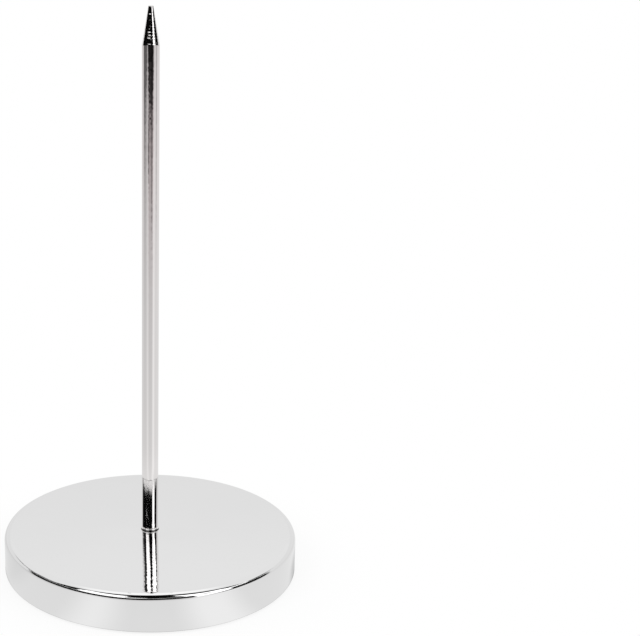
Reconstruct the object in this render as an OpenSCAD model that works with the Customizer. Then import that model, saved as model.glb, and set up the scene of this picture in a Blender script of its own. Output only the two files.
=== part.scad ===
// Bill spike for a desk: a blunt steel spike standing on a weighted round base.
// The origin is on the desk, under the centre of the base. +Z is up.

/* [Spike] */
// Length of the spike, from its foot to its blunt tip
spike_len = 138; // [90:1:200]
// Diameter of the drawn steel rod
spike_d = 4.4; // [4:0.1:8]
// Length of the cone turned on the upper end
cone_len = 9.4; // [5:0.2:20]
// Diameter of the blunt tip
tip_d = 1.3; // [0.6:0.1:2.4]
// Chamfer round the foot of the rod
foot_chamfer = 0.15; // [0.05:0.05:0.3]
// Room left in the tapped hole beyond the end of the screw
tap_room = 1.5; // [0.5:0.1:4]

/* [Foot ring] */
// Thickness of the ring between the spike and the base
ring_t = 0.6; // [0.4:0.1:1.2]
// How far the ring stands out beyond the rod all round
ring_lip = 0.25; // [0.1:0.05:0.8]

/* [Base cover] */
// Outer diameter of the drawn cover
cover_d = 78.8; // [60:0.2:110]
// Height of the cover, from its lower edge to its flat top
cover_h = 10.2; // [9:0.1:18]
// Thickness of the sheet steel
cover_wall = 0.6; // [0.4:0.1:0.9]
// Outer radius of the drawn edge
cover_edge_r = 1.8; // [1:0.1:3]
// Gap between the desk and the lower edge of the cover
cover_lift = 0.6; // [0.2:0.1:1.2]

/* [Ballast] */
// Gap all round between the cast slug and the inside of the cover
slug_gap = 0.2; // [0.1:0.05:0.5]
// Gap all round between the flat washer and the pocket that it lies in
pocket_gap = 1; // [0.3:0.1:3]
// Room between the screw head and the pad below it
head_room = 1.4; // [0.5:0.1:3]

/* [Pad] */
// Thickness of the foam pad
pad_t = 1.4; // [1.2:0.1:3]
// How far the rim of the pad is set in from the rim of the slug
pad_inset = 1.2; // [0.5:0.1:4]

/* [Fixing screw] */
// Thread diameter of the screw and of the tapped hole in the spike
thread_d = 3; // [2.5:0.1:3.6]
// Pitch of the thread
thread_pitch = 0.5; // [0.4:0.05:0.7]
// Gap all round between the screw and the tapped hole
thread_gap = 0.05; // [0.03:0.01:0.1]
// Gap all round between the screw and the holes that it passes through
hole_gap = 0.2; // [0.1:0.05:0.3]
// Length of thread that bites into the spike
bite_len = 5; // [3:0.5:10]
// Diameter of the screw head
head_d = 5.6; // [5:0.1:7]
// Height of the screw head
head_h = 2.4; // [2:0.1:3]
// Rounding of the edge of the screw head
head_round = 1; // [0.4:0.1:1.4]
// Length of each arm of the cross recess, from side to side
recess_len = 3.2; // [2.4:0.1:4]
// Width of each arm of the cross recess
recess_w = 0.7; // [0.5:0.05:1]
// Depth of the cross recess
recess_depth = 1.3; // [0.8:0.1:1.6]

/* [Washers] */
// Outer diameter of the flat washer
washer_d = 7; // [6.4:0.1:9]
// Thickness of the flat washer
washer_t = 0.5; // [0.4:0.1:1]
// Outer diameter of the split spring washer
spring_d = 6.2; // [5.6:0.1:6.4]
// Thickness of the spring washer
spring_t = 0.8; // [0.6:0.1:1.2]
// Angle of the split in the spring washer, in degrees
spring_split = 14; // [6:1:24]

/* [Hidden] */
$fn = 96;

// Heights above the desk, from the pad up to the spike
slug_low = pad_t;
cover_top = cover_lift + cover_h;
slug_top = cover_top - cover_wall;
ring_low = cover_top;
spike_low = ring_low + ring_t;
head_low = slug_low + head_room;
spring_low = head_low + head_h;
washer_low = spring_low + spring_t;
web_low = washer_low + washer_t;

// Radii that follow from the driving sizes
spike_r = spike_d / 2;
ring_r = spike_r + ring_lip;
cover_r = cover_d / 2;
slug_r = cover_r - cover_wall - slug_gap;
pad_r = slug_r - pad_inset;
pocket_r = washer_d / 2 + pocket_gap;
tap_r = thread_d / 2;
crest_r = tap_r - thread_gap;
hole_r = tap_r + hole_gap;

// The thread is cut as a row of ridges, one to each pitch
thread_depth = 0.6 * thread_pitch;
root_r = crest_r - thread_depth;
screw_tip = spike_low + bite_len;
thread_len = screw_tip - spring_low;
ridges = floor(thread_len / thread_pitch);

// A cut reaches past the face that it opens by this much
past = 0.1;
// Half the point angle of the drill that makes the tapped hole
drill_half_angle = 59;

chrome = [0.82, 0.83, 0.84];
zinc = [0.72, 0.72, 0.68];
iron = [0.25, 0.25, 0.26];
foam = [0.08, 0.08, 0.09];

// Half section of a disc of radius r between two heights, with its upper rim rounded
module rounded_half(r, low, high, edge) {
    translate([0, low]) square([r - edge, high - low]);
    translate([0, low]) square([r, high - low - edge]);
    translate([r - edge, high - edge]) circle(r = edge);
}

// Flat ring between two radii, standing on a height
module washer_ring(inner, outer, low, thick, angle = 360) {
    rotate_extrude(angle = angle)
        translate([inner, low])
            square([outer - inner, thick]);
}

// Drawn rod with a turned cone above and a tapped hole in its foot, turned from one half section
module spike_rod() {
    tip = spike_low + spike_len;
    cone_low = tip - cone_len;
    tap_end = spike_low + bite_len + tap_room;
    tap_point = tap_end + tap_r / tan(drill_half_angle);
    color(chrome)
        rotate_extrude()
            polygon([[tap_r, spike_low], [spike_r - foot_chamfer, spike_low],
                     [spike_r, spike_low + foot_chamfer], [spike_r, cone_low],
                     [tip_d / 2, tip], [0, tip], [0, tap_point], [tap_r, tap_end]]);
}

// Thin ring that the foot of the spike stands on, with a rounded rim
module foot_ring() {
    rim = ring_t / 2;
    color(chrome)
        rotate_extrude()
            difference() {
                union() {
                    translate([0, ring_low]) square([ring_r - rim, ring_t]);
                    translate([ring_r - rim, ring_low + rim]) circle(r = rim);
                }
                translate([-ring_r, ring_low - past]) square([ring_r + hole_r, ring_t + 2 * past]);
            }
}

// Drawn sheet cup, open below, with a hole for the screw in its flat top
module base_cover() {
    inner_edge_r = max(cover_edge_r - cover_wall, cover_wall / 4);
    lip = cover_wall / 2;
    color(chrome)
        rotate_extrude()
            union() {
                difference() {
                    rounded_half(cover_r, cover_lift + lip, cover_top, cover_edge_r);
                    rounded_half(cover_r - cover_wall, 0, slug_top, inner_edge_r);
                    translate([-cover_r, 0]) square([cover_r + hole_r, cover_top + past]);
                }
                translate([cover_r - lip, cover_lift + lip]) circle(r = lip);
            }
}

// Cast iron weight that fills the cover, with a pocket below for the screw head
module ballast_slug() {
    chamfer = cover_edge_r;
    color(iron)
        rotate_extrude()
            polygon([[hole_r, web_low], [pocket_r, web_low], [pocket_r, slug_low],
                     [slug_r, slug_low], [slug_r, slug_top - chamfer],
                     [slug_r - chamfer, slug_top], [hole_r, slug_top]]);
}

// Pan head screw that pulls the spike down on the base from below
module fixing_screw() {
    ridge = [[root_r, 0.1], [crest_r, 0.45], [crest_r, 0.55], [root_r, 0.9]];
    color(zinc)
        difference() {
            union() {
                translate([0, 0, spring_low])
                    mirror([0, 0, 1])
                        rotate_extrude()
                            intersection() {
                                rounded_half(head_d / 2, 0, head_h, head_round);
                                square([head_d, head_h]);
                            }
                rotate_extrude()
                    polygon(concat([[0, spring_low - past], [root_r, spring_low - past]],
                                   [for (i = [0 : ridges - 1], p = ridge)
                                       [p[0], spring_low + (i + p[1]) * thread_pitch]],
                                   [[root_r, screw_tip - past], [root_r - past, screw_tip],
                                    [0, screw_tip]]));
            }
            for (turn = [0, 90])
                rotate([0, 0, turn])
                    translate([-recess_len / 2, -recess_w / 2, head_low - past])
                        cube([recess_len, recess_w, recess_depth + past]);
        }
}

// Split ring under the head that keeps the screw from working loose
module spring_washer() {
    color(zinc)
        rotate([0, 0, spring_split / 2])
            washer_ring(hole_r, spring_d / 2, spring_low, spring_t, 360 - spring_split);
}

// Plain washer that spreads the pull of the screw over the slug
module flat_washer() {
    color(zinc) washer_ring(hole_r, washer_d / 2, washer_low, washer_t);
}

// Foam disc glued under the slug, which the base stands on
module base_pad() {
    color(foam) cylinder(r = pad_r, h = pad_t);
}

spike_rod();
foot_ring();
base_cover();
ballast_slug();
fixing_screw();
spring_washer();
flat_washer();
base_pad();
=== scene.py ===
# %% [markdown]
# A bill spike in chrome
#
# A bill spike stands on a desk or a counter, and paid bills are pushed down over its blunt point. This
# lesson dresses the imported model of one: a thin chrome rod on a heavy, mirror-bright round base. Nearly
# everything that shows is turned or drawn round one axis, so nearly every piece is a profile carried
# round that axis.
#
# Chrome has hardly any colour of its own. What you see in it is the room, so the second half of the
# lesson is about the studio: a white table, a white backdrop, two soft boxes and the dark gaps between
# them.

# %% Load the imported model
import math

import bmesh
import bpy
import numpy as np
from mathutils import Matrix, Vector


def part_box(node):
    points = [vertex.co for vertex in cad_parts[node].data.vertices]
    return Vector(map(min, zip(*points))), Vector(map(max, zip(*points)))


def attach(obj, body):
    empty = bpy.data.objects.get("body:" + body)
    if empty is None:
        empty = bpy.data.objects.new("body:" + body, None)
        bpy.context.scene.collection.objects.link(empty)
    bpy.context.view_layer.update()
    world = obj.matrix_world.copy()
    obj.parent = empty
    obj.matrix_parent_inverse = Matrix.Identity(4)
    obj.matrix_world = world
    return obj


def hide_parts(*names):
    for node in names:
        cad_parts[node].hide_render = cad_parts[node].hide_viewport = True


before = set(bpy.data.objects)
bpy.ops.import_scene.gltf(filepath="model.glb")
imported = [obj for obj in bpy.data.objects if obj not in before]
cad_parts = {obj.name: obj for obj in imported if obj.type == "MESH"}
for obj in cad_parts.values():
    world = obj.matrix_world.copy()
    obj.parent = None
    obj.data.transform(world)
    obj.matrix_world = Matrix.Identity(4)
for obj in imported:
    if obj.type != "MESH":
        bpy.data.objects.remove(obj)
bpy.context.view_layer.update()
MM = 0.001

# %% [markdown]
# Sizes come from the frame. Each piece below stands in exactly the space of its CAD node, so its radius
# and its heights are read from that node's box. Only what a box can't tell, such as the thickness of a
# sheet, is given in millimetres.

# %% Read the boxes of the pieces
cover_low, cover_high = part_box("base_cover")
ring_low, ring_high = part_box("foot_ring")
rod_low, rod_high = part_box("spike_rod")
screw_low, screw_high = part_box("fixing_screw")
spring_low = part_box("spring_washer")[0]
pad_low, pad_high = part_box("base_pad")

cover_radius = cover_high.x
rod_radius = rod_high.x
ring_radius = ring_high.x
screw_hole_radius = 1.7 * MM
print("cover radius", round(cover_radius / MM, 2), "rod radius", round(rod_radius / MM, 2))

# %% [markdown]
# A turned piece is a half section carried round the Z axis. One could use the Screw modifier, but a grid
# of points worked out with numpy lets the radius also change with the angle, which the turning marks and
# the screw thread need. The section is drawn with two small tools: straight runs and arcs.

# %% Tools for drawing a half section
SAME_POINT = 1e-8


def straight(start, end, count):
    """Points evenly spaced from start to end, both included: start + t (end - start), t from 0 to 1."""
    t = np.linspace(0.0, 1.0, count)[:, None]
    return np.array(start) + t * (np.array(end) - np.array(start))


def arc(centre, radius, first, last, count):
    """Points on a circle: centre + radius (cos a, sin a), with a going from first to last in degrees."""
    a = np.radians(np.linspace(first, last, count))
    return np.array(centre) + radius * np.stack([np.cos(a), np.sin(a)], axis=1)


def section(*runs):
    """Joins runs into one line of (radius, height) points, without points that repeat the one before."""
    points = np.concatenate(runs)
    step = np.linalg.norm(np.diff(points, axis=0), axis=1)
    keep = np.concatenate([[True], step > SAME_POINT])
    return points[keep]


# %% [markdown]
# The grid has one row for each point of the section and one column for each angle. The last column joins
# the first, so no seam is left. A ring piece, such as a washer, has a section that closes on itself, so
# its last row joins its first. A solid piece starts and ends on the axis, where a whole row falls on one
# point: those doubles are merged, which closes the poles, and then the faces are all turned to point
# outwards.

# %% Tools for turning a section into a mesh
SHARP_ANGLE = math.radians(38)
MERGE_DISTANCE = 1e-7


def full_turn(steps):
    """The angles of one full turn in equal steps, without a repeat at the end: 2 pi j / steps."""
    return np.arange(steps) * 2 * np.pi / steps


def turned_piece(name, radius, height, steps, ring=False):
    """Point (i, j) is (radius cos a, radius sin a, height), where a is j full turns over steps.
    radius and height have one row for each point of the section, and one column or one for each step."""
    angle = full_turn(steps)
    rows = len(radius)
    radius = np.broadcast_to(radius, (rows, steps))
    height = np.broadcast_to(height, (rows, steps))
    points = np.stack([radius * np.cos(angle), radius * np.sin(angle), height], axis=-1)
    i = np.arange(rows if ring else rows - 1)[:, None] * steps
    j = np.arange(steps)[None, :]
    next_i = (i + steps) % (rows * steps)
    next_j = (j + 1) % steps
    faces = np.stack([i + j, i + next_j, next_i + next_j, next_i + j], axis=-1)
    mesh = bpy.data.meshes.new(name)
    mesh.from_pydata(points.reshape(-1, 3).tolist(), [], faces.reshape(-1, 4).tolist())
    close_and_turn_out(mesh)
    piece = bpy.data.objects.new(name, mesh)
    bpy.context.scene.collection.objects.link(piece)
    print(name, "has", len(mesh.vertices), "points and", len(mesh.polygons), "faces")
    return piece


def close_and_turn_out(mesh):
    """Merges doubles, points every face outwards, and shades smooth up to the sharp angle."""
    shape = bmesh.new()
    shape.from_mesh(mesh)
    bmesh.ops.remove_doubles(shape, verts=shape.verts, dist=MERGE_DISTANCE)
    bmesh.ops.recalc_face_normals(shape, faces=shape.faces)
    shape.to_mesh(mesh)
    shape.free()
    mesh.shade_smooth()
    mesh.set_sharp_from_angle(angle=SHARP_ANGLE)


# %% [markdown]
# The base is a cup drawn from sheet steel, then polished and plated. Its outside is a flat top, a small
# drawn edge and a straight wall that ends in a rounded lip, and its inside follows at the thickness of
# the sheet. A Solidify modifier could add that thickness, but the closed section gives the lip its true
# shape. A ring of points is held close to each edge, so that the shading of the flat faces stays flat.

# %% Draw the section of the cover
sheet = 0.6 * MM
edge_radius = 1.8 * MM
inner_edge_radius = edge_radius - sheet
lip_radius = sheet / 2
hold = 0.03 * MM

cover_top = cover_high.z
edge_low = cover_top - edge_radius
inner_top = cover_top - sheet
inner_edge_low = inner_top - inner_edge_radius
wall_in = cover_radius - sheet
lip_height = cover_low.z + lip_radius
shoulder = cover_radius - edge_radius
inner_shoulder = wall_in - inner_edge_radius

cover_section = section(
    straight((screw_hole_radius, cover_top), (shoulder - hold, cover_top), count=100),
    straight((shoulder - hold, cover_top), (shoulder, cover_top), count=2),
    arc((shoulder, edge_low), edge_radius, 90, 0, count=40),
    straight((cover_radius, edge_low - hold), (cover_radius, lip_height + hold), count=12),
    arc((cover_radius - lip_radius, lip_height), lip_radius, 0, -180, count=14),
    straight((wall_in, lip_height), (wall_in, inner_edge_low), count=6),
    arc((inner_shoulder, inner_edge_low), inner_edge_radius, 0, 90, count=8),
    straight((inner_shoulder, inner_top), (screw_hole_radius, inner_top), count=24),
)
print("cover section has", len(cover_section), "points")

# %% [markdown]
# The top is flat to the eye, but a press never leaves a true mirror: the sheet keeps a slow waviness of
# a few thousandths of a millimetre, and a shallow crease in front. In chrome that is enough to make a
# reflection swim a little. A bump map could do it, but the waves are real metal, so they are put into
# the shape itself.


# %% Waves and a crease for the sheet
def ramp(value, start, width):
    """0 at start, rising evenly to 1 at start + width, and held outside. A negative width counts down."""
    return np.clip((value - start) / width, 0, 1)


def sheet_waves(x, y, count=7, slope=0.0011, shortest=9, longest=26, seed=12):
    """Sum of count sine waves in random directions. A wave of length L and slope s has height s L / 2 pi.
    The lengths lie between shortest and longest, in millimetres."""
    rng = np.random.default_rng(seed)
    length = rng.uniform(shortest, longest, count) * MM
    way = rng.uniform(0, 2 * np.pi, count)
    phase = rng.uniform(0, 2 * np.pi, count)
    along = x[..., None] * np.cos(way) + y[..., None] * np.sin(way)
    wave = slope * length / (2 * np.pi) * np.sin(2 * np.pi * along / length + phase)
    return wave.sum(axis=-1) / math.sqrt(count)


def front_crease(x, y, slope=0.0088, width=9 * MM, reach=8 * MM):
    """A shallow roll across the front of the top: slope x, fading as exp(-(x / width) squared).
    It starts where y is zero and has its whole depth from reach on, towards -Y."""
    forward = ramp(y, 0, -reach)
    return slope * x * np.exp(-((x / width) ** 2)) * forward


# %% Turn the cover
cover_steps = 288
flat_slack = 1e-6
wave_fade_in = 4 * MM
wave_fade_out = 3 * MM

cover_r, cover_z = np.hsplit(cover_section, 2)
cover_angle = full_turn(cover_steps)
cover_x = cover_r * np.cos(cover_angle)
cover_y = cover_r * np.sin(cover_angle)
waves = sheet_waves(cover_x, cover_y)
crease = front_crease(cover_x, cover_y)
on_top = (cover_z > cover_top - flat_slack) & (cover_r > ring_radius)
on_edge = (cover_z > edge_low) & (cover_r > shoulder)
fade_in = ramp(cover_r, ring_radius, wave_fade_in)
fade_out = ramp(cover_r, shoulder, -wave_fade_out)
cover_waves = np.where(on_top, waves * fade_in * fade_out, 0)
cover_crease = np.where(on_top | on_edge, crease * fade_in, 0)
cover = turned_piece("chrome_cover", cover_r, cover_z + cover_waves + cover_crease, cover_steps, ring=True)
print("waves on the top reach", round(float(np.abs(waves).max() / MM * 1000), 1), "thousandths of a mm")

# %% [markdown]
# The spike is a drawn rod. Its upper end is turned to a cone on a lathe, with a small blunt tip, and its
# foot has a chamfer and the tapped hole that the screw goes into. A cone and a cylinder could be joined,
# but one section from the tip to the bottom of the hole leaves no seam between them.

# %% Draw the section of the spike
tip_radius = 0.65 * MM
tip_edge = 0.14 * MM
cone_length = 9.4 * MM
foot_chamfer = 0.15 * MM
tap_radius = 1.5 * MM
tap_depth = 6.5 * MM
drill_half_angle = math.radians(59)
tap_point = tap_radius / math.tan(drill_half_angle)

tip_top = rod_high.z
foot = rod_low.z
cone_start = (tip_radius + 0.02 * MM, tip_top - 0.16 * MM)
cone_foot = tip_top - cone_length
cone_half_angle = math.degrees(math.atan((rod_radius - tip_radius) / cone_length))

spike_section = section(
    straight((0, tip_top), (tip_radius - tip_edge, tip_top), count=4),
    arc((tip_radius - tip_edge, tip_top - tip_edge), tip_edge, 90, cone_half_angle, count=9),
    straight(cone_start, (rod_radius, cone_foot), count=230),
    straight((rod_radius, cone_foot - hold), (rod_radius, foot + foot_chamfer), count=170),
    straight((rod_radius - foot_chamfer, foot), (tap_radius, foot), count=4),
    straight((tap_radius, foot + hold), (tap_radius, foot + tap_depth), count=10),
    straight((tap_radius, foot + tap_depth), (0, foot + tap_depth + tap_point), count=6),
)
print("spike section has", len(spike_section), "points")
print("cone half angle", round(cone_half_angle, 2), "degrees")

# %% [markdown]
# The lathe tool leaves a fine screw-like ripple on the cone, which catches the light as a column of
# small glints. A bump map could fake that, but the ripple is real metal, so the radius follows it: a
# sine wave along the height that also turns with the angle, with a depth that differs from turn to turn.

# %% Turn the spike, with its turning marks
rod_steps = 144
marks_start = 0.2 * MM
marks_rise = 0.5 * MM
marks_end = 0.25 * MM


def turning_marks(height, angle, feed=0.72 * MM, chatter_depth=0.08, chatter_pace=1.7):
    """Ripple left by the tool: depth times sin(2 pi h / feed - angle), with h counted down from the tip.
    The depth changes from turn to turn. The tool also chatters, a little faster and three times round."""
    depth_of_turn = np.array([2, 2, 9, 14, 3, 12, 5, 13, 10, 15, 13, 15, 6, 19, 9]) * MM / 1000
    below_tip = (tip_top - height) / feed
    depth = np.interp(below_tip, np.arange(len(depth_of_turn)), depth_of_turn)
    chatter = chatter_depth * np.sin(2 * np.pi * chatter_pace * below_tip + 3 * angle)
    return depth * (np.sin(2 * np.pi * below_tip - angle) + chatter)


spike_r, spike_z = np.hsplit(spike_section, 2)
from_tip = ramp(spike_z, tip_top - marks_start, -marks_rise)
from_rod = ramp(spike_z, cone_foot, marks_end)
marks = turning_marks(spike_z, full_turn(rod_steps)) * from_tip * from_rod
spike = turned_piece("chrome_spike", spike_r + marks, spike_z, rod_steps)
print("turning marks reach", round(float(np.abs(marks).max() / MM), 3), "mm")

# %% [markdown]
# At the foot of the spike sits a thin ring, a little wider than the rod. Its rim is rounded, so it shows
# as one bright line; the dark edge below it is painted shade in its material. A torus would be round all
# the way in. This ring has two flat faces and a bore, so its section is a short closed loop with a half
# circle outside.

# %% Turn the foot ring
ring_steps = 128
rim_radius = (ring_high.z - ring_low.z) / 2
rim_middle = ring_radius - rim_radius
ring_section = section(
    straight((screw_hole_radius, ring_high.z), (rim_middle, ring_high.z), count=4),
    arc((rim_middle, ring_low.z + rim_radius), rim_radius, 90, -90, count=22),
    straight((rim_middle, ring_low.z), (screw_hole_radius, ring_low.z), count=4),
)
ring_r, ring_z = np.hsplit(ring_section, 2)
foot_ring = turned_piece("chrome_ring", ring_r, ring_z, ring_steps, ring=True)

# %% [markdown]
# A screw from below pulls the spike down on the base. When the spike is unscrewed its thread comes into
# view. A stack of ridges would do for a hidden screw. This one shows, so its thread is a true helix: the
# radius depends on how far a point is along the pitch, counted from the angle. The cross recess in the
# head is cut into the same grid, by lifting the face where a point lies on one of the two arms.

# %% Shapes of the thread and the recess
thread_pitch = 0.5 * MM
crest_radius = 1.45 * MM
thread_depth = 0.3 * MM
recess_half_length = 1.6 * MM
recess_half_width = 0.35 * MM
recess_depth = 1.3 * MM


def thread_radius(height, angle, flank=2.9, crest_flat=0.25):
    """Crest radius less the depth of the groove. The groove is a triangle wave of height over pitch less
    turns, as steep as flank says, clipped flat at the crest and at the root."""
    phase = (height / thread_pitch - angle / (2 * np.pi)) % 1.0
    groove = np.clip(flank * np.abs(phase - 0.5) - crest_flat, 0, 1)
    return crest_radius - thread_depth * groove


def on_cross(x, y):
    """1 where a point lies on an arm of the cross, 0 elsewhere: inside the long half one way and the short
    half the other way, for either arm."""
    along = (np.abs(x) < recess_half_length) & (np.abs(y) < recess_half_width)
    across = (np.abs(y) < recess_half_length) & (np.abs(x) < recess_half_width)
    return (along | across).astype(float)


# %% Turn the screw
screw_steps = 96
face_rings = 40
thread_rows = 480
head_radius = screw_high.x
head_round = 1.0 * MM
head_face = screw_low.z
bearing_face = spring_low.z
screw_tip = screw_high.z

head_section = section(
    straight((0, head_face), (head_radius - head_round, head_face), count=face_rings),
    arc((head_radius - head_round, head_face + head_round), head_round, -90, 0, count=16),
    straight((head_radius, head_face + head_round), (head_radius, bearing_face), count=4),
    straight((head_radius, bearing_face), (crest_radius, bearing_face), count=4),
)
shank_section = straight((crest_radius, bearing_face + hold), (crest_radius, screw_tip), count=thread_rows)
screw_section = np.concatenate([head_section, shank_section, [[0.0, screw_tip]]])
screw_angle = full_turn(screw_steps)
screw_r = np.repeat(screw_section[:, :1], screw_steps, axis=1)
screw_z = np.repeat(screw_section[:, 1:], screw_steps, axis=1)
shank = slice(len(head_section), len(head_section) + thread_rows)
point_taper = ramp(screw_z[shank], screw_tip, -thread_pitch)
screw_r[shank] = thread_radius(screw_z[shank], screw_angle) - (1 - point_taper) * thread_depth
face = slice(0, face_rings)
lifted = on_cross(screw_r[face] * np.cos(screw_angle), screw_r[face] * np.sin(screw_angle))
screw_z[face] += recess_depth * lifted
screw = turned_piece("zinc_screw", screw_r, screw_z, screw_steps)

# %% [markdown]
# Under everything lies a disc of closed-cell foam, die-cut and glued to the weight. It carries the base
# a little clear of the desk. A plain cylinder would look like hard plastic. Foam gives, so its cut edge
# bellies out slightly, by half a sine wave from face to face, and its corners are soft.

# %% Turn the foam pad
pad_steps = 192
pad_radius = pad_high.x
pad_corner = 0.25 * MM
pad_belly = 0.12 * MM
pad_edge = pad_radius - pad_belly
corner_middle = pad_edge - pad_corner
belly_share = 0.03

pad_section = section(
    straight((0, pad_high.z), (corner_middle, pad_high.z), count=30),
    arc((corner_middle, pad_high.z - pad_corner), pad_corner, 90, 0, count=8),
    straight((pad_edge, pad_high.z - pad_corner), (pad_edge, pad_low.z + pad_corner), count=12),
    arc((corner_middle, pad_low.z + pad_corner), pad_corner, 0, -90, count=8),
    straight((corner_middle, pad_low.z), (0, pad_low.z), count=30),
)
pad_r, pad_z = np.hsplit(pad_section, 2)
up_the_edge = ramp(pad_z, pad_low.z, pad_high.z - pad_low.z)
at_edge = ramp(pad_r, (1 - belly_share) * pad_edge, belly_share * pad_edge)
pad_r = pad_r + at_edge * pad_belly * np.sin(np.pi * up_the_edge)
pad = turned_piece("foam_pad", pad_r, pad_z, pad_steps)

# %% [markdown]
# Each new piece now takes the place of its CAD node and rides on that node's body. The weight and the
# two washers keep their CAD meshes: they are hidden inside, and their shapes are already right.

# %% Seat the pieces on their bodies
seats = [
    (cover, "base_cover", "base", "base_chrome"),
    (spike, "spike_rod", "spike", "spike_chrome"),
    (foot_ring, "foot_ring", "ring", "spike_chrome"),
    (screw, "fixing_screw", "base", "zinc_steel"),
    (pad, "base_pad", "base", "foam"),
]
for piece, node_name, body, slot_name in seats:
    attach(piece, body)
    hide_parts(node_name)
print("seated", len(seats), "pieces")

# %% [markdown]
# Materials and studio lights are small node trees. They could be wired by hand in the shader editor.
# Written down they can be read from top to bottom, and a few helpers keep them short: these make a node,
# do sums with sockets, and fade from one value to another.


# %% Helpers for sums in node trees
def add_node(tree, kind, inputs=(), **settings):
    """Adds a node, applies its settings, and fills inputs given as (name or number, value or socket)."""
    made = tree.nodes.new(kind)
    for key, value in settings.items():
        setattr(made, key, value)
    for key, value in inputs:
        if isinstance(value, bpy.types.NodeSocket):
            tree.links.new(value, made.inputs[key])
        else:
            made.inputs[key].default_value = value
    return made


def math_node(tree, operation, first, second=0.0, third=0.0):
    """One sum, product or function of up to three values, as a socket."""
    inputs = [(0, first), (1, second), (2, third)]
    return add_node(tree, "ShaderNodeMath", inputs, operation=operation).outputs[0]


def plus(tree, *parts, start=0.0):
    """start, plus each of the parts given as (strength, socket)."""
    total = start
    for strength, socket in parts:
        total = math_node(tree, "MULTIPLY_ADD", socket, strength, total)
    return total


def times(tree, first, *others):
    """The product of all the values."""
    total = first
    for other in others:
        total = math_node(tree, "MULTIPLY", total, other)
    return total


def largest(tree, first, *others):
    """The largest of all the values."""
    total = first
    for other in others:
        total = math_node(tree, "MAXIMUM", total, other)
    return total


def one_less(tree, value):
    """1 less the value."""
    return math_node(tree, "SUBTRACT", 1.0, value)


def smooth_step(tree, value, low, high):
    """0 below low, 1 above high, and an S-curve between. With low above high it falls instead."""
    inputs = [("Value", value), ("From Min", low), ("From Max", high)]
    made = add_node(tree, "ShaderNodeMapRange", inputs, interpolation_type="SMOOTHSTEP")
    return made.outputs["Result"]


# %% [markdown]
# A second set of helpers is for finishes. Patterns read Object coordinates, which are metres on the
# piece itself, so they stay where they are when the piece moves. Values that never change are set on the
# shader's own sockets, where an export can read them.


# %% Helpers for finishes
def own_point(tree):
    """The point on the piece itself, in metres: its Object coordinates."""
    return add_node(tree, "ShaderNodeTexCoord").outputs["Object"]


def parts_of(tree, vector):
    """The X, Y and Z of a vector, as sockets by name."""
    return add_node(tree, "ShaderNodeSeparateXYZ", [("Vector", vector)]).outputs


def length_of(tree, vector):
    """The length of a vector."""
    return add_node(tree, "ShaderNodeVectorMath", [(0, vector)], operation="LENGTH").outputs["Value"]


def new_material(name, **constants):
    """A material with one Principled shader. Constants are set on the shader's own sockets."""
    material = bpy.data.materials.new(name)
    material.use_nodes = True
    shader = material.node_tree.nodes["Principled BSDF"]
    for key, value in constants.items():
        shader.inputs[key.replace("_", " ")].default_value = value
    return material, material.node_tree, shader


def noise(tree, across, along=None, detail=2.0, roughness=0.5):
    """Noise with so many features in a metre across the axis, and along it if that differs."""
    stretch = (across, across, along or across)
    inputs = [("Vector", own_point(tree)), ("Scale", stretch)]
    mapped = add_node(tree, "ShaderNodeMapping", inputs).outputs["Vector"]
    inputs = [("Vector", mapped), ("Scale", 1.0), ("Detail", detail), ("Roughness", roughness)]
    return add_node(tree, "ShaderNodeTexNoise", inputs).outputs["Fac"]


def mix_colours(tree, share, first, second):
    """A colour between first and second: first + share (second - first), as a socket."""
    mixed = add_node(tree, "ShaderNodeMix", [("Factor", share)], data_type="RGBA")
    mixed.inputs["A"].default_value = (*first, 1)
    mixed.inputs["B"].default_value = (*second, 1)
    return mixed.outputs["Result"]


def two_tones(tree, shader, share, first, second):
    """Colours the surface between two tones."""
    tree.links.new(mix_colours(tree, share, first, second), shader.inputs["Base Color"])


def roughen(tree, shader, pattern, low, high):
    """Roughness from low to high. Noise mostly lies from 0.3 to 0.7, so that range is stretched over it."""
    inputs = [("Value", pattern), ("From Min", 0.3), ("From Max", 0.7), ("To Min", low), ("To Max", high)]
    level = add_node(tree, "ShaderNodeMapRange", inputs).outputs["Result"]
    tree.links.new(level, shader.inputs["Roughness"])


def bump(tree, shader, height, distance):
    """Tilts the surface by a height map. distance is the real height of its whole range, in metres."""
    inputs = [("Height", height), ("Distance", distance), ("Strength", 1.0)]
    tree.links.new(add_node(tree, "ShaderNodeBump", inputs).outputs["Normal"], shader.inputs["Normal"])


def dress(piece, material):
    """Gives a piece its material, in place of any that it has."""
    piece.data.materials.clear()
    piece.data.materials.append(material)
    print(piece.name, "is dressed in", material.name, "of", len(material.node_tree.nodes), "nodes")


# %% [markdown]
# The cover is polished chrome plate. A shader with no roughness at all would look like a glass mirror.
# Two small faults make it metal: a faint orange peel of about a millimetre, stronger near the rim, where
# the press strained the sheet, and a haze that differs from place to place with the push of the buffing
# wheel.

# %% Chrome for the cover
STRAINED_FROM = 26 * MM
STRAINED_FULLY = 38 * MM
base_chrome, tree, shader = new_material("base_chrome", Metallic=1.0)
roughen(tree, shader, noise(tree, 60, detail=4.0), low=0.018, high=0.034)
two_tones(tree, shader, noise(tree, 25, detail=3.0), (0.770, 0.770, 0.771), (0.798, 0.797, 0.797))
from_middle = length_of(tree, own_point(tree))
strain = plus(tree, (0.9, smooth_step(tree, from_middle, STRAINED_FROM, STRAINED_FULLY)), start=0.1)
orange_peel = times(tree, noise(tree, 850, detail=1.0), strain)
fine_peel = noise(tree, 1900, detail=0.0)
bump(tree, shader, plus(tree, (1.0, orange_peel), (0.55, fine_peel)), 0.006 * MM)
dress(cover, base_chrome)

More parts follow.
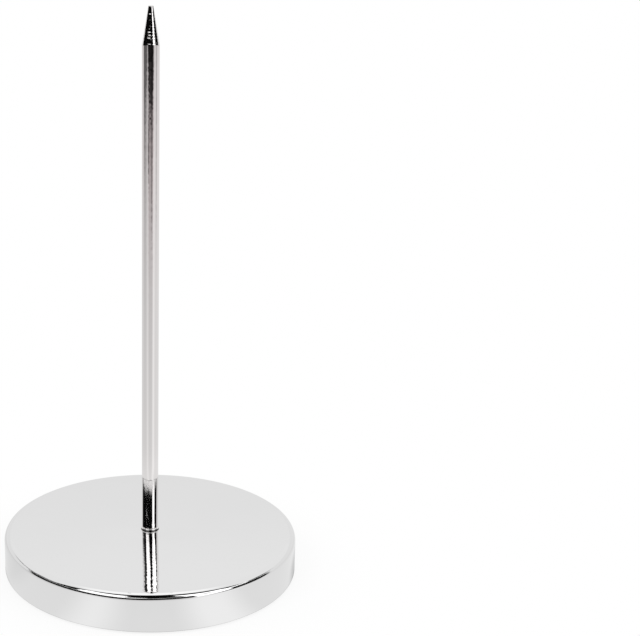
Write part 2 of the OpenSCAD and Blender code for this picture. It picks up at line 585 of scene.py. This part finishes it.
# %% [markdown]
# The rod was pulled through a die before it was plated, and the die leaves fine lines along its whole
# length. Lines could be drawn one by one. Noise that is squeezed round the rod and stretched along it
# gives them all at once. On the upper half the plate is also faintly mottled, which breaks up the
# reflections there. The rod is a touch warmer than the base, because its plate is thinner.

# %% Chrome for the spike
MOTTLES_FROM = 45 * MM
MOTTLES_FULLY = 95 * MM
CONE_MARGIN = 1.5 * MM
spike_chrome, tree, shader = new_material("spike_chrome", Metallic=1.0)
draw_lines = noise(tree, 4200, along=22, detail=3.0, roughness=0.6)
mottles = math_node(tree, "SUBTRACT", noise(tree, 1500, along=600, detail=1.0), 0.5)
point_height = parts_of(tree, own_point(tree))["Z"]
upper_half = smooth_step(tree, point_height, MOTTLES_FROM, MOTTLES_FULLY)
below_cone = smooth_step(tree, point_height, cone_foot, cone_foot - CONE_MARGIN)
rod_mottles = times(tree, mottles, upper_half, below_cone)
roughen(tree, shader, draw_lines, low=0.015, high=0.035)
plate_tone = noise(tree, 900, along=40, detail=2.0)
two_tones(tree, shader, plate_tone, (0.780, 0.756, 0.750), (0.815, 0.800, 0.794))
bump(tree, shader, plus(tree, (1.0, draw_lines), (2.8, rod_mottles)), 0.007 * MM)
dress(spike, spike_chrome)

# %% [markdown]
# The ring has the same plate. Under its rim lies a narrow crevice that light does not reach, so below
# the middle of the rim the colour is painted dark, as shade. A second piece could play that shade, but it
# would be thinner than a hair, so the height of the point on the ring decides instead.

# %% Chrome with painted shade under the rim for the ring
RIM_SHADE_SHARE = 0.42
RIM_SHADE_EDGE = 0.03 * MM
ring_chrome, tree, shader = new_material("ring_chrome", Metallic=1.0, Roughness=0.05)
point_height = parts_of(tree, own_point(tree))["Z"]
rim_shade_top = ring_low.z + RIM_SHADE_SHARE * (ring_high.z - ring_low.z)
# Painted shade: below this height the ring's colour goes dark, for the unlit crevice under the rim.
in_rim_shade = smooth_step(tree, point_height, rim_shade_top + RIM_SHADE_EDGE, rim_shade_top - RIM_SHADE_EDGE)
two_tones(tree, shader, in_rim_shade, (0.785, 0.775, 0.768), (0.14, 0.135, 0.13))
dress(foot_ring, ring_chrome)

# %% [markdown]
# The hardware inside is plainer. Bright zinc plate is duller than chrome and slightly blue in some
# places and yellow in others. The weight is cast iron, dark and grainy from the sand of its mould. The
# pad is black foam, whose cut cells scatter the light, so it is as matte as anything gets. Image
# textures could show all that, but noise at the real size of the grain needs no pictures and fits any
# shape.

# %% Zinc plate
zinc_steel, tree, shader = new_material("zinc_steel", Metallic=1.0)
two_tones(tree, shader, noise(tree, 500), (0.58, 0.60, 0.64), (0.66, 0.64, 0.58))
grain = noise(tree, 3000, detail=3.0)
roughen(tree, shader, grain, low=0.25, high=0.42)
bump(tree, shader, grain, 0.004 * MM)
dress(screw, zinc_steel)

# %% Cast iron
cast_iron, tree, shader = new_material("cast_iron", Metallic=0.7)
sand = noise(tree, 1400, detail=5.0, roughness=0.65)
two_tones(tree, shader, sand, (0.045, 0.045, 0.048), (0.17, 0.165, 0.16))
roughen(tree, shader, sand, low=0.6, high=0.85)
bump(tree, shader, sand, 0.12 * MM)
print("cast iron has", len(tree.nodes), "nodes")

# %% Black foam
foam, tree, shader = new_material("foam", Specular_IOR_Level=0.25)
cells = noise(tree, 3800, detail=3.0, roughness=0.7)
two_tones(tree, shader, cells, (0.012, 0.012, 0.013), (0.055, 0.055, 0.058))
roughen(tree, shader, cells, low=0.82, high=0.97)
bump(tree, shader, cells, 0.06 * MM)
dress(pad, foam)

# %% Give the hidden CAD pieces their finish
hidden = [("ballast_slug", cast_iron), ("spring_washer", zinc_steel), ("flat_washer", zinc_steel)]
for node_name, material in hidden:
    dress(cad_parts[node_name], material)

# %% [markdown]
# Now the studio. Each direction that chrome can mirror is described by two angles: the bearing, which is
# 0 towards the camera's side and grows to the right, and the lift above the horizon. One could wrap a
# panorama of a real studio round the scene. Painting soft-edged patches instead makes every light a few
# plain numbers: a span is written as from, to and softness, and an edge as the two values between which
# it fades.


# %% Tools for the studio
def bearing_of(tree, x, y):
    """Angle in degrees from the -Y direction, growing towards +X: the arc tangent of x over minus y."""
    behind = math_node(tree, "MULTIPLY", y, -1.0)
    return math_node(tree, "DEGREES", math_node(tree, "ARCTAN2", x, behind))


def window(tree, value, low, high, soft):
    """1 between low and high, falling softly to 0 outside: a rising S-curve times a falling one."""
    rise = smooth_step(tree, value, low - soft, low + soft)
    fall = smooth_step(tree, value, high + soft, high - soft)
    return times(tree, rise, fall)


def patch(tree, first, first_span, second, second_span):
    """A soft-edged patch: a window in one measure times a window in another."""
    return times(tree, window(tree, first, *first_span), window(tree, second, *second_span))


def ray_kinds(tree):
    """Two sockets: 1 for the camera's own rays, also through glass, and 1 for rays from a mirror."""
    rays = add_node(tree, "ShaderNodeLightPath").outputs
    return largest(tree, rays["Is Camera Ray"], rays["Is Transmission Ray"]), rays["Is Glossy Ray"]


# %% [markdown]
# The backdrop is a white cloth that hangs behind the base and over it, a little brighter high up. It
# could be a bent plane, but painted in the world it is only a few numbers. It stops at a plane that
# leans over the base, towards the camera, by 15 degrees. In front of that is the dark room in which the
# camera stands.

# %% Hang the white cloth
CLOTH_LEVEL = 0.90
FRONT_Y = -0.965
FRONT_Z = -0.262
CLOTH_EDGE = (-0.02, 0.03)
UPPER_RISE = (21, 27)
CEILING_RISE = (57, 73)
world = bpy.data.worlds.new("studio")
bpy.context.scene.world = world
world.use_nodes = True
tree = world.node_tree
way = parts_of(tree, add_node(tree, "ShaderNodeTexCoord").outputs["Generated"])
turn = bearing_of(tree, way["X"], way["Y"])
lift = math_node(tree, "DEGREES", math_node(tree, "ARCSINE", way["Z"]))
side = math_node(tree, "ABSOLUTE", turn)
upper = smooth_step(tree, lift, *UPPER_RISE)
ceiling = smooth_step(tree, lift, *CEILING_RISE)
cloth = plus(tree, (0.06, upper), (0.24, ceiling), start=CLOTH_LEVEL)
towards_front = plus(tree, (FRONT_Y, way["Y"]), (FRONT_Z, way["Z"]))
opening = smooth_step(tree, towards_front, *CLOTH_EDGE)
print("the cloth leans by", round(math.degrees(math.asin(-FRONT_Z)), 1), "degrees")

# %% [markdown]
# White on white would lose the outline of the rim. Photographers stand black flags beside the object,
# just where its edges mirror them. Here one flag carries the dark room on round the sides, and a thin
# one goes on further, at the lifts that the mirrored rod sees near its foot. A low one stands on the
# right, and on each side a tall one leans to the front and fades towards its top. Sheets could stand in
# the scene instead, but a flag in the world is only a few numbers.

# %% Stand black flags at the sides
FRONT_FLAG_EDGE = (96, 87)
FRONT_FLAG_TOP = (26.1, 25.0)
THIN_FLAG_TURN = (-129, 103, 12)
THIN_FLAG_LIFT = (22.4, 25.4, 0.4)
LOW_FLAG_TURN = (66, 99, 4)
LOW_FLAG_LIFT = (-2, 18, 2)
TALL_FLAG_TURN = (95, 123, 5)
TALL_FLAG_FOOT = (18, 22)
TALL_FLAG_TOP = (35, 24)
front_turn = plus(tree, (1.0, side), (-0.35, lift), (0.06, turn))
front_side = smooth_step(tree, front_turn, *FRONT_FLAG_EDGE)
front_flag = times(tree, front_side, smooth_step(tree, lift, *FRONT_FLAG_TOP))
thin_flag = patch(tree, turn, THIN_FLAG_TURN, lift, THIN_FLAG_LIFT)
low_flag = patch(tree, turn, LOW_FLAG_TURN, lift, LOW_FLAG_LIFT)
tall_turn = plus(tree, (1.0, side), (0.8, lift))
tall_rise = times(tree, smooth_step(tree, lift, *TALL_FLAG_FOOT), smooth_step(tree, lift, *TALL_FLAG_TOP))
tall_flag = times(tree, window(tree, tall_turn, *TALL_FLAG_TURN), tall_rise)
dark = largest(tree, opening, front_flag, thin_flag, low_flag, tall_flag)
backdrop = times(tree, cloth, one_less(tree, dark))
print("backdrop and flags take", len(tree.nodes), "nodes")

# %% [markdown]
# A soft box is a lamp behind a white sheet. The one on the right reaches down almost to the horizon, and
# its two ends are slanted. Halfway up it has a darker seam down its middle and is brighter beside the
# seam. The mirrored rod sees only a narrow band of lifts, and there the box is wider. An area lamp has
# no slanted ends and no seam, so the box is painted as well.

# %% Switch on the right soft box
ROD_BAND_FOOT = (24.3, 26.7)
ROD_BAND_TOP = (31, 28.5)
RIGHT_START = (32, 36)
RIGHT_END = (65, 61)
RIGHT_TOP = (61, 57)
RIGHT_FOOT = (-14.5, -10.5)
RIGHT_HIGH = (32, 45)
SEAM_TURN = (40.5, 49.5, 2)
SEAM_LIFT = (20.5, 33, 2)
RIGHT_LEVEL = 1.7
above_rod = smooth_step(tree, lift, *ROD_BAND_FOOT)
rod_band = times(tree, above_rod, smooth_step(tree, lift, *ROD_BAND_TOP))
high_up = smooth_step(tree, lift, *RIGHT_HIGH)
right_start = smooth_step(tree, plus(tree, (1.0, turn), (7.0, above_rod), (5.0, high_up)), *RIGHT_START)
right_end = smooth_step(tree, plus(tree, (1.0, turn), (-20.0, rod_band)), *RIGHT_END)
right_top = smooth_step(tree, plus(tree, (1.0, lift), (0.3, turn)), *RIGHT_TOP)
right_foot = smooth_step(tree, plus(tree, (1.0, lift), (-0.35, turn)), *RIGHT_FOOT)
seam_here = window(tree, lift, *SEAM_LIFT)
seam = times(tree, window(tree, turn, *SEAM_TURN), seam_here)
right_level = plus(tree, (0.6, seam_here), (-1.6, seam), start=RIGHT_LEVEL)
right_box = times(tree, right_level, right_start, right_end, right_top, right_foot)
print("right soft box: bearing", RIGHT_START[0], "to", RIGHT_END[0], "degrees")

# %% [markdown]
# The left box is plainer: it hangs higher, and ends sharply above and below. A weak fill further left
# keeps the dark there from going quite black, and the room itself is never fully dark. Lamps could do
# both, but painted light reaches only the mirrors.

# %% Switch on the left soft box and the fill
LEFT_START = (-62, -58)
LEFT_END = (-18, -22)
LEFT_LIFT = (24.6, 52, 0.1)
LEFT_LEVEL = 1.7
FILL_TURN = (-116, -62, 8)
FILL_LIFT = (11.5, 15.5, 0.8)
FILL_LEVEL = 0.07
ROOM_LEVEL = 0.003
left_start = smooth_step(tree, plus(tree, (1.0, turn), (-4.0, rod_band)), *LEFT_START)
left_end = smooth_step(tree, plus(tree, (1.0, turn), (-17.0, rod_band)), *LEFT_END)
left_box = times(tree, left_start, left_end, window(tree, lift, *LEFT_LIFT))
fill = times(tree, patch(tree, turn, FILL_TURN, lift, FILL_LIFT), FILL_LEVEL)
lights = largest(tree, plus(tree, (1.0, backdrop), (1.0, right_box), (LEFT_LEVEL, left_box)), fill)
mirrored = math_node(tree, "ADD", lights, ROOM_LEVEL)
print("left soft box: bearing", LEFT_START[0], "to", LEFT_END[0], "degrees")

# %% [markdown]
# Each kind of ray gets its own world. Mirrors see the painted studio. The camera sees plain white, like
# the paper that a product is cut out on. All other rays get an even white light, so that the plain parts
# are lit softly from everywhere.

# %% Show each ray its world
AMBIENT = 0.75
plain, glossy = ray_kinds(tree)
other = one_less(tree, math_node(tree, "ADD", plain, glossy))
level = plus(tree, (1.0, plain), (AMBIENT, other), (1.0, times(tree, glossy, mirrored)))
background = tree.nodes["Background"]
tree.links.new(level, background.inputs["Strength"])
background.inputs["Color"].default_value = (1, 1, 1, 1)
print("world nodes:", len(tree.nodes))

# %% [markdown]
# The table is one large round face. It is white where the soft boxes light it, close to the base, and
# falls off with distance towards the dark room in front. That fall is what shades the rod: high up it
# mirrors the far end of the table, low down the near end. Real lamps could light it so, with much trial
# and error. Here it is painted by distance and bearing, for mirrors only.

# %% Lay the white table
TABLE_RADIUS = 4.0
TABLE_STEPS = 96
rim_angle = full_turn(TABLE_STEPS)
rim = TABLE_RADIUS * np.stack([np.cos(rim_angle), np.sin(rim_angle), 0 * rim_angle], axis=1)
table_mesh = bpy.data.meshes.new("table")
table_mesh.from_pydata(rim.tolist(), [], [list(range(TABLE_STEPS))])
table = bpy.data.objects.new("table", table_mesh)
bpy.context.scene.collection.objects.link(table)
print("table of", TABLE_RADIUS, "m")

# %% [markdown]
# The paint gives off its own light, like a screen, so the usual shader is taken out. An image could hold
# the paint. Sums of a distance and a bearing stay smooth at any size, so each point is first turned into
# those two.


# %% Start a paint that glows
def bare_material(name):
    """A material without its usual shader, and the tree to paint its glow in."""
    material = bpy.data.materials.new(name)
    material.use_nodes = True
    material.node_tree.nodes.remove(material.node_tree.nodes["Principled BSDF"])
    return material, material.node_tree


def show(tree, shader):
    """Makes a shader the one that the material shows."""
    tree.links.new(shader.outputs[0], tree.nodes["Material Output"].inputs["Surface"])


table_white, tree = bare_material("table_white")
where = own_point(tree)
distance = length_of(tree, where)
spot = parts_of(tree, where)
turn = bearing_of(tree, spot["X"], spot["Y"])
side = math_node(tree, "ABSOLUTE", turn)
print("started", table_white.name)

# %% [markdown]
# Close to the base the wall of the cover mirrors the table, so every pool of light there shows as a soft
# upright band in the wall. There is a pool in front of each soft box, narrow near the base and wider
# further out. Right under the rim it is dark, and the base itself shades the table a little on both
# sides.

# %% Paint the near table
NEAR_LEVEL = 0.785
CLOSE_EDGE = (78 * MM, 58 * MM)
CLOSE_LEFT = (-34, -16, 9)
CLOSE_RIGHT = (18, 42, 9)
WIDE_LEFT = (-46, -24, 12)
WIDE_RIGHT = (28, 58, 12)
OUTER_RISE = (50, 70)
UNDER_RIM = (40.5 * MM, 38 * MM)
BOUNCE = (100 * MM, 45 * MM)
close = smooth_step(tree, distance, *CLOSE_EDGE)
close_pools = plus(tree, (0.14, window(tree, turn, *CLOSE_LEFT)), (0.16, window(tree, turn, *CLOSE_RIGHT)))
wide_pools = plus(tree, (0.15, window(tree, turn, *WIDE_LEFT)), (0.24, window(tree, turn, *WIDE_RIGHT)),
                  (0.07, smooth_step(tree, turn, *OUTER_RISE)))
under_rim = smooth_step(tree, distance, *UNDER_RIM)
bounce = smooth_step(tree, distance, *BOUNCE)
near_lights = plus(tree, (1.0, times(tree, close_pools, close)),
                   (1.0, times(tree, wide_pools, one_less(tree, close))),
                   (0.12, bounce), (-0.7, under_rim), start=NEAR_LEVEL)
print("near table takes", len(tree.nodes), "nodes")

# %% Shade the near table at the sides
LEFT_SHADE_TURN = (-122, -72, 9)
LEFT_SHADE_REACH = (66 * MM, 58 * MM)
RIGHT_SHADE_SLANT = 3600.0
RIGHT_SHADE_START = (-75, -62)
RIGHT_SHADE_END = (135, 109)
RIGHT_SHADE_REACH = (47.5 * MM, 40.5 * MM)
left_reach = smooth_step(tree, distance, *LEFT_SHADE_REACH)
left_shade = times(tree, window(tree, turn, *LEFT_SHADE_TURN), left_reach)
slanted_turn = plus(tree, (1.0, turn), (-RIGHT_SHADE_SLANT, distance))
right_shade = times(tree, smooth_step(tree, slanted_turn, *RIGHT_SHADE_START),
                    smooth_step(tree, turn, *RIGHT_SHADE_END),
                    smooth_step(tree, distance, *RIGHT_SHADE_REACH))
near = plus(tree, (1.0, near_lights), (-0.08, left_shade), (-0.26, right_shade))
print("shaded near table takes", len(tree.nodes), "nodes")

# %% [markdown]
# The far table is dark in front and lit on the right and behind. On the left a lit strip runs outwards.
# All of this is drawn out along the rod, so a change by bearing becomes an upright stripe. Towards the
# far end the lit parts draw back, so the dark stripe in the rod grows wider towards the top. Lamps with
# shutters could cut the light like that, but a painted edge is quicker to move.

# %% Paint the far table
PINCH = (1.75, 0.95)
FAR_RIGHT_EDGE = (31, 49)
FAR_LEFT_EDGE = (-34, -48)
STRIP_TURN = -42.0
STRIP_EDGE = (9, 1)
GAP_TURN = (75, 86, 5)
FAR_BACK_EDGE = (92, 117)
FAR_MOST = 0.8
FAR_LEAST = 0.012
FAR_GLOW = (1.75, 1.4)
FADE_FROM = 0.06
FADE_TO = 1.26
pinch = smooth_step(tree, distance, *PINCH)
far_right = smooth_step(tree, plus(tree, (1.0, turn), (6.0, pinch)), *FAR_RIGHT_EDGE)
far_left = smooth_step(tree, turn, *FAR_LEFT_EDGE)
from_strip = math_node(tree, "ABSOLUTE", math_node(tree, "SUBTRACT", turn, STRIP_TURN))
strip = smooth_step(tree, plus(tree, (1.0, from_strip), (-10.0, pinch)), *STRIP_EDGE)
gap = window(tree, turn, *GAP_TURN)
far_back = smooth_step(tree, side, *FAR_BACK_EDGE)
far_lit = plus(tree, (0.72, far_right), (0.12, far_left), (0.38, strip), (0.62, far_back), (-0.22, gap))
far_glow = smooth_step(tree, distance, *FAR_GLOW)
far_held = math_node(tree, "MINIMUM", far_lit, FAR_MOST)
far = plus(tree, (1.0, far_held), (0.02, far_glow), start=FAR_LEAST)
span = [("Value", distance), ("From Min", FADE_FROM), ("From Max", FADE_TO)]
fade = add_node(tree, "ShaderNodeMapRange", span).outputs["Result"]
faded = plus(tree, (1.0, times(tree, near, one_less(tree, fade))), (1.0, times(tree, far, fade)))
print("far table takes", len(tree.nodes), "nodes")

# %% [markdown]
# Things stand about in a studio. The legs of stands and lamps cut dark stripes out of the lit table, and
# about a metre in front the table ends. In the rod they become upright dark lines. They could be
# modelled as posts, but painted on the table they darken only what a mirror sees.

# %% Stand the legs and end the table
RIGHT_LEG = (6, 23, 4)
OUTER_LEG = (76, 90, 5)
RIGHT_LEGS_FROM = (0.35, 0.60)
LEFT_LEG_TURN = (-34, -22, 5)
LEFT_LEG_REACH = (0.63, 0.97, 0.09)
BACK_LEG_TURN = (-92, -78, 5)
BACK_LEG_FROM = (0.55, 0.95)
END_TURN = (-12, 22, 8)
END_REACH = (1.0, 1.22, 0.09)
END_DARK = 0.55
right_pair = plus(tree, (0.45, window(tree, turn, *RIGHT_LEG)), (0.20, window(tree, turn, *OUTER_LEG)))
right_legs = times(tree, right_pair, smooth_step(tree, distance, *RIGHT_LEGS_FROM))
left_leg = patch(tree, turn, LEFT_LEG_TURN, distance, LEFT_LEG_REACH)
back_leg = times(tree, window(tree, turn, *BACK_LEG_TURN), smooth_step(tree, distance, *BACK_LEG_FROM))
legs = plus(tree, (1.0, right_legs), (0.68, left_leg), (0.36, back_leg))
table_end = times(tree, patch(tree, turn, END_TURN, distance, END_REACH), END_DARK)
table_mirrored = times(tree, faded, one_less(tree, legs), one_less(tree, table_end))
print("table with its legs takes", len(tree.nodes), "nodes")

# %% [markdown]
# The room beyond is faintly warm, so the light that reaches a mirror from far ahead is tinted. The
# camera sees the table as plain white, with a little of its real shading left near the base as a shadow.
# All other rays meet a plain white cloth. No single paint can be all three, so the kind of ray decides.

# %% Show each ray its table
WARM_WHITE = (1.07, 0.955, 0.965)
WARM_TURN = (-30, 36, 12)
WARM_REACH = (0.10, 0.80)
SHADOW_SHARE = 0.12
SHADOW_REACH = (70 * MM, 39 * MM)
plain, glossy = ray_kinds(tree)
ahead = plus(tree, (0.8, window(tree, turn, *WARM_TURN)), start=0.25)
warm_share = times(tree, ahead, smooth_step(tree, distance, *WARM_REACH), glossy)
glow_colour = mix_colours(tree, warm_share, (1, 1, 1), WARM_WHITE)
glow_level = plus(tree, (1.0, plain), (1.0, times(tree, glossy, table_mirrored)))
glow = add_node(tree, "ShaderNodeEmission", [("Color", glow_colour), ("Strength", glow_level)])
table_cloth = add_node(tree, "ShaderNodeBsdfDiffuse", [("Color", (0.9, 0.9, 0.9, 1))])
shadow_share = times(tree, smooth_step(tree, distance, *SHADOW_REACH), SHADOW_SHARE)
glow_share = plus(tree, (1.0, times(tree, plain, one_less(tree, shadow_share))), (1.0, glossy))
both = [("Fac", glow_share), (1, table_cloth.outputs[0]), (2, glow.outputs[0])]
show(tree, add_node(tree, "ShaderNodeMixShader", both))
dress(table, table_white)

# %% [markdown]
# In front, just under the camera, a white card lies almost flat, like a wide collar that is open at the
# back. The base mirrors its underside, and the rod mirrors that again: it is the pale part of the rod
# above the black foot. Painted in the world it would have no distance, so the card is a real sheet at a
# real place. It lies flat because then the point of the spike, which is as high as the card, sees only
# its thin edge. Only mirrors see it. Its inner edge draws back towards the sides.


# %% Tools for sheets that only mirrors see
def glow_material(name, level):
    """A material that gives off an even light of one level, and nothing else."""
    material, tree = bare_material(name)
    show(tree, add_node(tree, "ShaderNodeEmission", [("Strength", level)]))
    return material


def collar_row(radius, bearing, height):
    """A row of points (radius sin b, -radius cos b, height), one for each bearing b."""
    heights = np.full(len(bearing), height)
    return np.stack([radius * np.sin(bearing), -radius * np.cos(bearing), heights], axis=1)


def mirror_sheet(name, near_row, far_row, material):
    """A strip of faces between two rows of points. Only mirrors see it."""
    count = len(near_row)
    first = np.arange(count - 1)
    faces = np.stack([first, first + 1, first + 1 + count, first + count], axis=1)
    mesh = bpy.data.meshes.new(name)
    mesh.from_pydata(np.concatenate([near_row, far_row]).tolist(), [], faces.tolist())
    mesh.materials.append(material)
    sheet_object = bpy.data.objects.new(name, mesh)
    bpy.context.scene.collection.objects.link(sheet_object)
    for ray in ["camera", "diffuse", "shadow", "transmission"]:
        setattr(sheet_object, "visible_" + ray, False)
    print(name, "has", len(faces), "faces")


# %% Lay the white card in front
CARD_LEVEL = 1.1
CARD_HALF_TURN = 104
CARD_INNER = 360.4 * MM
CARD_OUTER = 401.5 * MM
CARD_INNER_HEIGHT = 150.0 * MM
CARD_OUTER_HEIGHT = 152.7 * MM
DRAW_BACK_LEFT = 5.7 * MM
DRAW_BACK_RIGHT = 12.0 * MM
card_bearing = np.radians(np.linspace(-CARD_HALF_TURN, CARD_HALF_TURN, 105))
side_draw = np.where(card_bearing > 0, DRAW_BACK_RIGHT, DRAW_BACK_LEFT)
draw_back = side_draw * (card_bearing / np.radians(90)) ** 2
inner_row = collar_row(CARD_INNER + draw_back, card_bearing, CARD_INNER_HEIGHT)
outer_row = collar_row(CARD_OUTER, card_bearing, CARD_OUTER_HEIGHT)
mirror_sheet("card", inner_row, outer_row, glow_material("card_white", CARD_LEVEL))

# %% [markdown]
# A point of chrome against a white backdrop would lose its edge as well. Photographers hold a small
# black flag close beside it, out of the picture, and the edge turns black. A flag in the world would
# darken the base too. These two are curved strips, one on each side of the cone, so near that the base
# sees them almost overhead, where they do little harm.

# %% Hold two black flags beside the point
FLAG_DISTANCE = 20.0 * MM
FLAG_LOW = 138.5 * MM
FLAG_HIGH = 157.0 * MM
flag_black = glow_material("flag_black", ROOM_LEVEL)
for flag_name, first_bearing, last_bearing in [("flag_left", -116, -61), ("flag_right", 90, 112)]:
    flag_bearing = np.radians(np.linspace(first_bearing, last_bearing, 25))
    low_row = collar_row(FLAG_DISTANCE, flag_bearing, FLAG_LOW)
    high_row = collar_row(FLAG_DISTANCE, flag_bearing, FLAG_HIGH)
    mirror_sheet(flag_name, low_row, high_row, flag_black)

# %% [markdown]
# Two large area lamps do the plain lighting of everything that isn't a mirror. They are left out of
# glossy rays, because the soft boxes are already painted in the world.

# %% Hang the lamps
LAMP_SIZE = 0.6
LAMP_WATTS = 3.0
for lamp_name, place in [("lamp_left", (-0.55, -0.6, 0.75)), ("lamp_right", (0.65, -0.55, 0.6))]:
    lamp_data = bpy.data.lights.new(lamp_name, "AREA")
    lamp_data.size = LAMP_SIZE
    lamp_data.energy = LAMP_WATTS
    lamp = bpy.data.objects.new(lamp_name, lamp_data)
    lamp.location = place
    aim = -lamp.location
    lamp.rotation_euler = aim.to_track_quat("-Z", "Y").to_euler()
    lamp.visible_glossy = False
    bpy.context.scene.collection.objects.link(lamp)
print("lamps hung:", len(bpy.data.lights))

# %% [markdown]
# The camera stands where the photograph's camera stood, worked out from the two rims of the base, the
# foot and the tip. It looks slightly down. The spike stands left of the middle of the picture, and
# because the rod is upright there, the lens is shifted sideways instead of turned.

# %% Set up the camera
PICTURE_WIDTH = 640
SPIKE_COLUMN = 150.35
FOCAL_PIXELS = 1355.9
CAMERA_BACK = 340.0 * MM
CAMERA_UP = 164.93 * MM
CAMERA_PITCH = 15.594
CAMERA_ROLL = 0.10
SENSOR_WIDTH = 36.0
NEAREST = 0.01
camera_data = bpy.data.cameras.new("camera")
camera_data.sensor_width = SENSOR_WIDTH
camera_data.lens = FOCAL_PIXELS * SENSOR_WIDTH / PICTURE_WIDTH
camera_data.shift_x = (PICTURE_WIDTH / 2 - SPIKE_COLUMN) / PICTURE_WIDTH
camera_data.clip_start = NEAREST
camera = bpy.data.objects.new("camera", camera_data)
camera.location = (0, -CAMERA_BACK, CAMERA_UP)
pitch = Matrix.Rotation(math.radians(90 - CAMERA_PITCH), 3, "X")
roll = Matrix.Rotation(math.radians(CAMERA_ROLL), 3, "Z")
camera.rotation_euler = (pitch @ roll).to_euler()
bpy.context.scene.collection.objects.link(camera)
bpy.context.scene.camera = camera
bpy.context.scene.view_settings.view_transform = "Standard"
print("lens", round(camera_data.lens, 2), "mm, shift", round(camera_data.shift_x, 4))

# %% Finish
bpy.context.view_layer.update()
